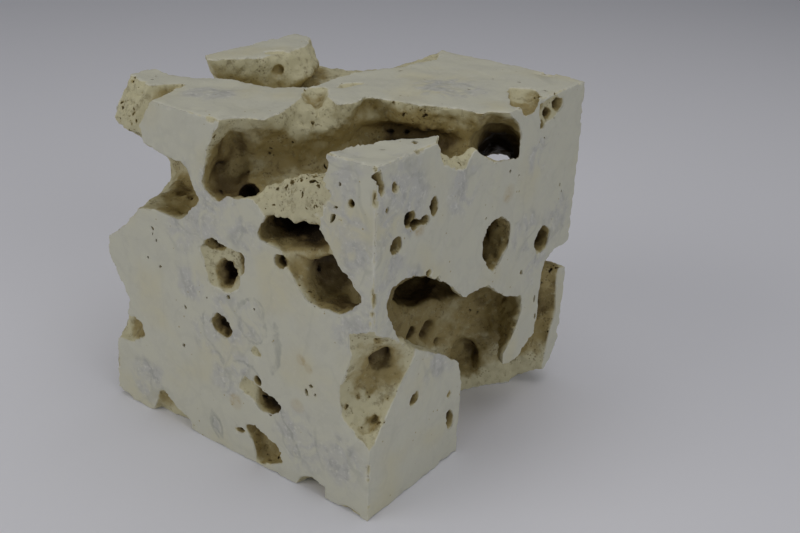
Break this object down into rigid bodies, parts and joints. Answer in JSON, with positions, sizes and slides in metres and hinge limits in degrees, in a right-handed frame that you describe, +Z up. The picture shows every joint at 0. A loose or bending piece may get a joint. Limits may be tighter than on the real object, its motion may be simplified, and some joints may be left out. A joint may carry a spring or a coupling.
{
  "type": "shell limestone block",
  "caption": "Sawn cube of pale shell limestone, riddled with natural hollows, shell moulds and a slanting burrow.",
  "frame": {"origin": "middle of the square base, on the surface that the block stands on", "axes": "+X to the right along the front face, +Y from the front face to the back, +Z up"},
  "size_m": [0.2, 0.2, 0.2],
  "materials": {
    "limestone": "creamy shell limestone, sawn and finely ground faces, rough ochre hollows"
  },
  "bodies": {
    "root": {"limestone_block": "limestone"}
  },
  "joints": []
}
